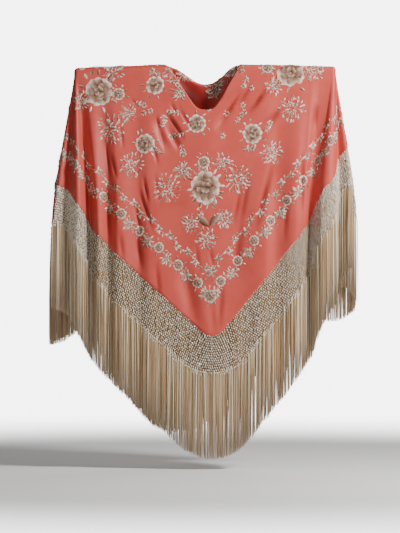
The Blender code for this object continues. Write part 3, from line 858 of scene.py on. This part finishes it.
rows, columns = np.arange(NET_ROWS), np.arange(KNOT_COLUMNS)
across = columns[None, :] + 0.5 * (rows[:, None] % 2)
knot_loops, knot_beyond = net_places(across, rows[:, None] + np.zeros_like(across))
knot_falls = fall_to(knot_loops, knot_beyond)
knot_places = draped(knot_loops, knot_falls)
knot_places += rng.normal(0.0, KNOT_UNEVEN, knot_places.shape)
knot_ways = outward(knot_loops, knot_falls)
last_rows = NET_ROWS - 1 - np.rint(POINT_ROWS * np.abs(2 * (across % POINT_WIDTH) / POINT_WIDTH - 1))
knotted = rows[:, None] <= last_rows

cord_places = knot_places - CORD_BEHIND * knot_ways
cord_paths = []
for turn in (0, 1):
    index = (columns[None, :] - turn * (rows[:, None] % 2)) % KNOT_COLUMNS
    path, tied = cord_places[rows[:, None], index].copy(), knotted[rows[:, None], index]
    for row in rows[1:]:
        loose = ~(tied[:row + 1].all(axis=0))
        path[row, loose] = path[row - 1, loose] - np.array([0.0, 0.0, ROW_STEP])
    cord_paths.append(path.transpose(1, 0, 2))
cord_paths = np.concatenate(cord_paths)
cord_columns = np.concatenate([columns, columns])
print("net:", int(knotted.sum()), "knots on", len(cord_paths), "cords")


# %% [markdown]
# The net, the cords and the strands are each in four pieces, one for each stretch of the shawl, so
# that each piece stands for the solid that it covers and stays small enough to handle.

# %% The four stretches
STRETCHES = ("front", "right_end", "back", "left_end")


def stretch_of(loop):
    """The number of the stretch that each place of the loop is in."""
    loop = wrapped(loop)
    end = np.where(loop > 0, 1, 3)
    return np.where(np.abs(loop) < HALF_SPAN, 0, np.where(np.abs(loop) > LOOP / 2 - HALF_SPAN, 2, end))


column_stretch = stretch_of(net_places(columns, np.zeros(KNOT_COLUMNS))[0])

# %% [markdown]
# Net and fringe are of the same twisted silk cord, undyed ivory that looks tan where it shades itself.
# Each knot and each strand catches the light its own way, so each copy gets its own painted light
# and shade, from tan to ivory. The cords, which lie behind the knots, are painted darker: painted shade.

# %% Twisted silk cord
def silk_cord(name, dark, pale, roughness):
    """Twisted silk, painted from dark to pale by the copy's own shade: painted light and shade."""
    material, shader = new_material(name, pale, roughness)
    feed(material, shader, Base_Color=ramp(material, noted(material, "shade"), (0.0, dark), (1.0, pale)),
         Sheen_Weight=0.25, Sheen_Roughness=0.35)
    return material


knot_silk = silk_cord("knotted_silk_cord", "#B48C58", "#FFFAEE", 0.42)
# painted shade: the cords are the knots' ivory silk, painted a darker tan because they lie in the knots'
# shade
cord_silk_painted_shade = silk_cord("twisted_silk_cord_painted_shade", "#6E4A20", "#AC8246", 0.5)
strand_silk = silk_cord("silk_fringe_strand", "#AE7E3E", "#FFF1D2", 0.45)

# %% [markdown]
# A knot is a small ball, drawn out and slanted, and its three ways are: aside and down on the cloth,
# and out of it. A cord is a three-sided tube.

# %% Build the net
knot_shape = bmesh.new()
bmesh.ops.create_icosphere(knot_shape, subdivisions=1, radius=1.0)
knot_points = np.array([vert.co for vert in knot_shape.verts])
cord_builder = cord_shape(3, NET_ROWS)
nets = {}
for number, stretch in enumerate(STRETCHES):
    chosen = knotted & (column_stretch == number)[None, :]
    places, ways = knot_places[chosen], knot_ways[chosen]
    aside = unit(np.cross(ways, (0.0, 0.0, 1.0)))
    down = np.cross(ways, aside)
    slant = math.tan(KNOT_SLANT) * np.where(wrapped(knot_loops[chosen]) > 0, -1.0, 1.0)[:, None]
    frames = np.stack([aside - slant * down, down + slant * aside, ways], axis=1) * math.cos(KNOT_SLANT)
    points = places[:, None] + np.einsum("pk,nkc->npc", knot_points * KNOT_SIZE, frames)
    # painted light and shade: each knot gets its own shade, from tan to ivory
    knots = copies("net_knots_" + stretch, knot_shape, points, knot_silk,
                   shade=np.sqrt(rng.uniform(0.0, 1.0, len(places))))
    mine = column_stretch[cord_columns] == number
    cords = copies("net_cords_" + stretch, cord_builder,
                   along_cords(cord_builder, cord_paths[mine], CORD_RADIUS), cord_silk_painted_shade,
                   shade=rng.uniform(0.0, 1.0, int(mine.sum())))
    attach(cords, "root")
    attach(knots, "root")
    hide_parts("net_" + stretch)
    nets[stretch] = (knots, cords)
    print(stretch, "net:", len(knots.data.polygons) + len(cords.data.polygons), "faces")

# %% [markdown]
# Where a cord leaves the net its threads fall apart into strands. They start behind its last knots,
# so that nothing shows between the two. A strand hangs plumb, but it drifts a little aside on its
# way down, and no two are cut to quite the same length. A few lie in front of the others and catch
# the light, and they are painted near white, a painted highlight, which gives the fringe its thin
# bright streaks.

# %% Strands of the fringe
STRANDS_PER_CORD = 5
STRAND_RINGS = (0.0, 0.06, 0.5, 1.0)
STRAND_RADII = (0.0012, 0.0016, 0.0015, 0.0007)
ROOT_SPREAD, STRAND_DRIFT = 0.0030, 0.0007
LENGTH_UNEVEN = 0.006
ROOT_ROWS_UP = 2
SPREAD_BY, DRIFT_BY = 0.1, 0.6
BRIGHT_SHARE, BRIGHT_AHEAD, BRIGHT_THICK, PAINTED_HIGHLIGHT_SHADE = 0.035, 0.005, 1.2, 0.95
DULL_SHADE, DULL_MIX = 0.75, (2.0, 2.6)

strand_builder = cord_shape(3, len(STRAND_RINGS))
shares = np.array(STRAND_RINGS)
for number, stretch in enumerate(STRETCHES):
    mine = column_stretch[cord_columns] == number
    roots = np.repeat(cord_paths[mine][:, -1 - ROOT_ROWS_UP], STRANDS_PER_CORD, axis=0)
    count = len(roots)
    painted_highlight = rng.uniform(0.0, 1.0, count) < BRIGHT_SHARE
    ahead = np.repeat(knot_ways[-1][cord_columns[mine]], STRANDS_PER_CORD, axis=0)
    roots = roots + ahead * (painted_highlight * BRIGHT_AHEAD)[:, None]
    lengths = STRAND_LENGTH + ROOT_ROWS_UP * ROW_STEP - np.abs(rng.normal(0.0, LENGTH_UNEVEN, count))
    paths = np.repeat(roots[:, None], len(shares), axis=1)
    paths[..., 2] -= shares * lengths[:, None]
    spread_out = rng.normal(0.0, ROOT_SPREAD, (count, 1, 2)) * smooth(shares, 0.0, SPREAD_BY)[None, :, None]
    drift = np.cumsum(rng.normal(0.0, STRAND_DRIFT, (count, len(shares), 2)), axis=1)
    paths[..., :2] += spread_out + drift * smooth(shares, 0.0, DRIFT_BY)[None, :, None]
    radii = np.array(STRAND_RADII) * np.where(painted_highlight, BRIGHT_THICK, 1.0)[:, None]
    # painted highlight: the strands in front get a near-white shade, the others a darker one
    shades = np.where(painted_highlight, PAINTED_HIGHLIGHT_SHADE, DULL_SHADE * rng.beta(*DULL_MIX, count))
    strands = copies("strands_" + stretch, strand_builder, along_cords(strand_builder, paths, radii),
                     strand_silk, shade=shades)
    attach(strands, "root")
    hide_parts("fringe_" + stretch)
    nets[stretch] += (strands,)
    print(stretch, "fringe:", count, "strands,", len(strands.data.polygons), "faces")

# %% [markdown]
# ## Embroidery
# The flowers are worked in satin stitch: floss laid side by side over a whole petal, so that each
# petal is a small shiny pillow that stands about two millimetres above the silk. It was all worked
# on the flat square, so it is drawn flat here too, and then laid on the hanging cloth with it.
# All of it is made of one stitched shape, a pillow with its rim sunk in the cloth, in three forms:
# a leaf that is pointed at both ends, a petal that is round at its tip, and a stem.

# %% One stitched shape
LEAF, PETAL, STEM = 0, 1, 2
stitches = []


def stitch(form, x, y, angle, length, width, bend=0.0, lift=0.0, base=0.4, tip=0.8, side=0.0):
    """Notes one stitched shape, from its base at x, y and pointing at the angle.

    Shades run from base to tip, 0 dark tan to 1 white, and differ by side between its two halves:
    the darker bases are painted shade and the lighter half is a painted highlight.
    """
    stitches.append((form, x, y, angle, length, width, bend, lift, base, tip, side))


def away_from(x, y, angle, reach, stretch=1.0):
    """The place at a reach and an angle from x, y."""
    return x + reach * math.cos(angle), y + reach * stretch * math.sin(angle)


# %% [markdown]
# The small motifs are florets, single leaves, and sprigs of both on a bent stem. One half of a leaf
# or a petal catches the light more than the other, because its threads lie the other way, so that
# half is painted lighter: a painted highlight.

# %% Florets, leaves and sprigs
LEAF_SHADES, LEAF_WIDTHS, PAINTED_HALF_LIGHTS = (0.35, 0.5, 0.85), (0.38, 0.5), (-0.35, 0.35)
SPRIG_STEM_WIDTH, SPRIG_FLORET = 0.0026, 0.010
SPRIG_LEAVES, SPRIG_LEAN = (0.012, 0.017), 0.8


def floret(x, y, radius, petals=5, turn=0.0, thin=1.0):
    """A small open flower: pale petals round a dark eye."""
    for i in range(petals):
        angle = turn + 2 * math.pi * i / petals + rng.normal(0.0, 0.1)
        stitch(PETAL, x, y, angle, radius * rng.uniform(0.9, 1.15), radius * 0.8 * thin,
               base=0.1, tip=rng.uniform(0.55, 1.0), side=rng.choice(PAINTED_HALF_LIGHTS))
    stitch(PETAL, x - radius * 0.2, y, 0.0, radius * 0.4, radius * 0.4, lift=0.001, base=0.0, tip=0.2)


def leaf(x, y, angle, length):
    """A leaf, in tan or in white and darker at its base, with one half painted lighter: a painted
    highlight.
    """
    shade = rng.choice(LEAF_SHADES)
    stitch(LEAF, x, y, angle, length, length * rng.uniform(*LEAF_WIDTHS), bend=rng.uniform(-0.2, 0.2),
           base=shade - 0.25, tip=shade, side=rng.choice(PAINTED_HALF_LIGHTS))


def sprig(x, y, angle, length, pairs=3, bend=0.25):
    """A curved stem with leaves on both sides and a floret at its tip."""
    stitch(STEM, x, y, angle, length, SPRIG_STEM_WIDTH, bend=bend, base=0.6, tip=0.8)
    start, ahead = np.array([x, y]), np.array([math.cos(angle), math.sin(angle)])
    aside = np.array([-math.sin(angle), math.cos(angle)])
    for i in range(pairs):
        share = (i + 0.6) / (pairs + 0.4)
        root = start + ahead * length * share + aside * bend * length * share ** 2
        way = angle + math.atan(2 * bend * share)
        for lean in (SPRIG_LEAN, -SPRIG_LEAN):
            leaf(*root, way + lean + rng.normal(0.0, 0.15), rng.uniform(*SPRIG_LEAVES))
    floret(*(start + ahead * length + aside * bend * length), SPRIG_FLORET, turn=angle)


# %% [markdown]
# The large motifs are roses, with painted shade between their rings of petals, and bunches, which are
# round sprays of leaves and stems with a few florets in their middle.

# %% Roses and bunches
# each ring of a rose: root, length and width in radii; petals; shades of base and tip (dark bases are
# painted shade)
ROSE_RINGS = ((0.50, 0.54, 0.62, 11, 0.3, 1.0), (0.33, 0.50, 0.66, 8, 0.0, 0.55),
              (0.16, 0.46, 0.62, 6, 0.0, 0.45), (0.02, 0.36, 0.50, 4, 0.0, 0.7))
ROSE_RING_LIFT, ROSE_RING_TURN = 0.0011, 0.4
BUNCH_RINGS, BUNCH_FLORETS, BUNCH_STEMS = (0.45, 0.72, 1.0), 4, 7
BUNCH_LEAVES, LEAF_SPACING, STEM_WIDTH = (0.012, 0.018), 0.0145, 0.0022


def rose(x, y, radius, turn=0.0, stretch=1.0, leaves=9, reach=1.1):
    """A full rose: rings of broad petals, each ring higher than the last, and leaves round it."""
    for i in range(leaves):
        angle = turn + 2 * math.pi * (i + rng.uniform(-0.25, 0.25)) / leaves
        root = away_from(x, y, angle, radius * reach * rng.uniform(0.9, 1.1), stretch)
        leaf(*root, angle + rng.normal(0.0, 0.2), max(0.014, radius * 0.48))
    for level, (root, length, width, count, base, tip) in enumerate(ROSE_RINGS):
        for i in range(count):
            angle = turn + ROSE_RING_TURN * level + 2 * math.pi * (i + rng.uniform(-0.2, 0.2)) / count
            stitch(PETAL, *away_from(x, y, angle, radius * root, stretch), angle,
                   radius * length * rng.uniform(0.88, 1.06), radius * width,
                   bend=rng.uniform(-0.15, 0.15), lift=ROSE_RING_LIFT * level, base=base,
                   tip=tip * rng.uniform(0.75, 1.0), side=rng.uniform(*PAINTED_HALF_LIGHTS))


def bunch(x, y, radius, turn=0.0):
    """A bunch: florets in its middle, and rings of leaves that point outwards all round."""
    for i in range(BUNCH_FLORETS):
        angle = turn + math.pi / 2 * (i + rng.uniform(-0.2, 0.2))
        floret(*away_from(x, y, angle, radius * 0.3), max(0.008, radius * 0.2), turn=angle)
    for i in range(BUNCH_STEMS):
        angle = turn + 2 * math.pi * i / BUNCH_STEMS
        stitch(STEM, *away_from(x, y, angle, radius * 0.2), angle, radius * 0.75, STEM_WIDTH,
               bend=rng.uniform(-0.2, 0.2), base=0.5, tip=0.8)
    for ring in BUNCH_RINGS:
        count = round(2 * math.pi * radius * ring / LEAF_SPACING)
        for i in range(count):
            angle = turn + 2 * math.pi * (i + rng.uniform(-0.3, 0.3)) / count
            root = away_from(x, y, angle, radius * ring * rng.uniform(0.85, 1.05) - 0.007)
            leaf(*root, angle + rng.normal(0.0, 0.6), rng.uniform(*BUNCH_LEAVES))


# %% [markdown]
# The layout is a Manila shawl's usual one: each corner has a large rose with sprays, bunches and
# scattered stars, and two garlands run round inside the hem. A motif's place is given in its
# corner's own frame, in millimetres from the middle of the square, with y towards the corner. The
# front and back corners get the whole list, and the side corners what still has room.

# %% Layout of one corner
MOTIFS = (
    ("rose", -350, 75, 52), ("rose", -280, 92, 22), ("bunch", -290, 5, 38), ("bunch", -425, 100, 36),
    ("rose", -145, 75, 33), ("sprig", -118, 44, 40), ("sprig", -100, 60, 40), ("bunch", -80, 30, 30),
    ("star", -195, 170, 11), ("star", -125, 195, 12), ("star", -105, 265, 11),
    ("star", 105, 195, 12), ("star", 165, 170, 11), ("star", 85, 275, 11), ("star", -60, 330, 10),
    ("bunch", -325, 215, 50), ("bunch", -255, 165, 30), ("rose", -200, 280, 35), ("rose", -5, 225, 33),
    ("sprig", -60, 180, 42), ("sprig", 40, 190, 40), ("sprig", -50, 250, 40), ("sprig", -135, 235, 40),
    ("sprig", -70, 290, 40), ("bunch", -260, 352, 44), ("rose", 345, 60, 52), ("rose", 262, 40, 20),
    ("bunch", 345, 190, 46), ("rose", 195, 275, 36), ("bunch", 265, 345, 42), ("bunch", 280, 105, 30),
    ("sprig", 135, 240, 42), ("sprig", 250, 280, 42), ("sprig", 150, 330, 40), ("sprig", -130, 320, 40),
    ("great rose", 10, 455, 54), ("rose", 10, 365, 22),
    ("bunch", -135, 450, 50), ("bunch", -70, 388, 32), ("bunch", 130, 435, 50), ("bunch", 80, 370, 32),
    ("tan leaf", 14, 596, 64), ("bunch", -55, 580, 32), ("bunch", 70, 572, 34), ("bunch", -2, 640, 38),
    ("bunch", 145, 30, 32), ("bunch", 425, 60, 36), ("bunch", -60, 110, 26), ("star", 40, 120, 10),
    ("star", 60, 50, 11), ("star", 200, 110, 11), ("sprig", -230, 130, 40), ("sprig", 185, 60, 42),
    ("sprig", -25, 520, 36), ("sprig", 50, 520, 36),
)
TAN_LEAF_WAYS, TAN_LEAF_WIDTH = (-2.42, -0.94), 0.4
ROOM_SHARE = 0.95


def work_motif(kind, x, y, size, corner):
    """Works one motif at a place of the square, in metres."""
    turn = rng.uniform(0.0, 2 * math.pi)
    if kind == "rose":
        rose(x, y, size, turn)
    elif kind == "great rose":
        rose(x, y, size, turn, stretch=1.25 if corner % 2 == 0 else 1.0, leaves=15, reach=0.85)
    elif kind == "bunch":
        bunch(x, y, size, turn)
    elif kind == "star":
        floret(x, y, size, petals=6, turn=turn, thin=0.7)
    elif kind == "sprig":
        sprig(x, y, turn, size)
    else:
        for way in TAN_LEAF_WAYS:
            stitch(LEAF, x, y, way - corner * math.pi / 2, size, size * TAN_LEAF_WIDTH, bend=0.15,
                   lift=0.0006, base=0.1, tip=0.35, side=0.25)


placed = []
for corner in (0, 2, 1, 3):
    cosine, sine = math.cos(corner * math.pi / 2), math.sin(corner * math.pi / 2)
    for kind, across, ahead, size in MOTIFS:
        x = (across * cosine + ahead * sine) / 1000
        y = (ahead * cosine - across * sine) / 1000
        size /= 1000
        crowded = any(math.hypot(x - other_x, y - other_y) < ROOM_SHARE * (size + other_size)
                      for other_x, other_y, other_size in placed)
        if corner % 2 == 0 or not crowded:
            work_motif(kind, x, y, size, corner)
            placed.append((x, y, size))
print(len(placed), "motifs,", len(stitches), "stitched shapes")


# %% [markdown]
# A garland is a stem that waves to and fro, with a flower at each turn and leaves between. The outer
# one has roses and bunches by turns, the inner one only florets. A rose fills each corner.

# %% Garlands round the hem
# each garland: how far inside the hem, step, large flowers or not, size of leaves and corner roses
GARLANDS = ((0.178, 0.046, False, 0.013, 0.012), (0.118, 0.050, True, 0.017, 0.024))
GARLAND_WAVE, GARLAND_BEND, GARLAND_REACH = 0.006, 0.25, 0.97
GARLAND_ROSE, GARLAND_BUNCH, GARLAND_FLORET, FLORET_LEAF = 0.019, 0.020, 0.011, 0.019


def garland(inside, step, large, leaf_length, corner_rose):
    """Works flowers on a waving stem, on a line that lies inside the hem, once round the square."""
    half = CLOTH_SIDE / 2 - inside
    count = round(2 * half / step)
    for quarter in range(4):
        turn = math.pi / 4 + quarter * math.pi / 2
        ahead = np.array([math.cos(turn), math.sin(turn)])
        aside = np.array([-ahead[1], ahead[0]])
        for i in range(count + 1):
            wave = (-1) ** i
            x, y = (aside * (half + GARLAND_WAVE * wave)
                    + ahead * half * (i / count * 2 - 1) * GARLAND_REACH)
            stitch(STEM, x, y, turn - GARLAND_BEND * wave, step, STEM_WIDTH, bend=GARLAND_BEND * wave,
                   base=0.5, tip=0.7)
            if large and i % 2:
                rose(x, y, GARLAND_ROSE, turn, leaves=5)
            elif large:
                bunch(x, y, GARLAND_BUNCH, turn)
            else:
                floret(x, y, GARLAND_FLORET, turn=turn)
                for lean in (0.7, -0.7, 2.4, -2.4):
                    leaf(x, y, turn + lean, FLORET_LEAF)
            start = np.array([x, y]) + ahead * step * 0.5
            for lean in (0.9, -0.9):
                leaf(*start, turn + lean + 0.3 * wave, leaf_length)
        x, y = (aside + ahead) * half
        rose(x, y, corner_rose, turn, leaves=6)


for garland_row in GARLANDS:
    garland(*garland_row)
print(len(stitches), "stitched shapes with the garlands")

# %% [markdown]
# Now each noted shape becomes a copy of one small pillow: a grid of a few faces whose points are
# moved to the outline of its form, bent, domed and laid on the cloth. The rim is sunk a little in
# the cloth's wall, so that no gap shows between the stitches and the silk.

# %% Lay the embroidery on the cloth
PILLOW_HIGH = np.array([0.0022, 0.0022, 0.0010])
PILLOW_ENDS = 5.0
RIM_SINK = 0.0003
LEAF_FULL, PETAL_FULL = 0.8, 0.55
PETAL_PART, PETAL_TIP = (0.04, 0.97), 1.6

pillow = bmesh.new()
bmesh.ops.create_grid(pillow, x_segments=4, y_segments=2, size=1.0)
pillow_points = np.array([vert.co for vert in pillow.verts])
along, across_pillow = (pillow_points[:, 0] + 1) / 2, pillow_points[:, 1]

table = np.array(stitches)
form = table[:, 0].astype(int)
x0, y0, angle, length, width, bend, lift, base, tip, side = (column[:, None] for column in table[:, 1:].T)
outlines = np.stack([
    np.sin(np.pi * along) ** LEAF_FULL,
    np.sin(np.pi * np.clip(along, *PETAL_PART) ** PETAL_TIP) ** PETAL_FULL,
    np.ones_like(along),
])
half_width = width / 2 * outlines[form]
forward = length * along[None, :]
sideways = across_pillow[None, :] * half_width + bend * length * along[None, :] ** 2
flat = np.stack([x0 + forward * np.cos(angle) - sideways * np.sin(angle),
                 y0 + forward * np.sin(angle) + sideways * np.cos(angle)], axis=-1)
turned = np.stack([flat[..., 0] * math.cos(TURN) + flat[..., 1] * math.sin(TURN) + SLIP_ALONG,
                   flat[..., 1] * math.cos(TURN) - flat[..., 0] * math.sin(TURN) + SLIP_FORWARD], axis=-1)
ends = np.minimum(1.0, PILLOW_ENDS * np.minimum(along, 1 - along))
dome = np.sqrt(np.clip(1 - across_pillow ** 2, 0.0, 1.0)) * ends
rise = CLOTH_WALL - RIM_SINK + PILLOW_HIGH[form][:, None] * dome[None, :] + lift
# painted shade and highlight: each pillow darker towards its base, and one half lighter than the other
shade = mix(base, tip, along[None, :]) + side * across_pillow[None, :]
embroidery_places = laid(turned, rise)

# %% [markdown]
# The floss is untwisted silk, the shiniest thread there is, in ivory and tan, with darker tan painted
# in the depths as painted shade and one half of each petal painted lighter as a painted highlight.
# Light runs along the threads, so the sheen is strong and the roughness low.

# %% Silk floss
floss, floss_shader = new_material("satin_stitched_silk_floss", "#E9E0D2", 0.35)
floss_colours = ramp(floss, noted(floss, "shade"),
                     (0.0, "#523426"), (0.3, "#97705A"), (0.6, "#D0B09A"), (1.0, "#FCF3EA"))
feed(floss, floss_shader, Base_Color=floss_colours, Sheen_Weight=0.3, Sheen_Roughness=0.3,
     Specular_IOR_Level=0.6)
embroidery = copies("satin_stitch_embroidery", pillow, embroidery_places, floss, shade=shade)
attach(embroidery, "root")
print("embroidery:", len(embroidery.data.polygons), "faces")
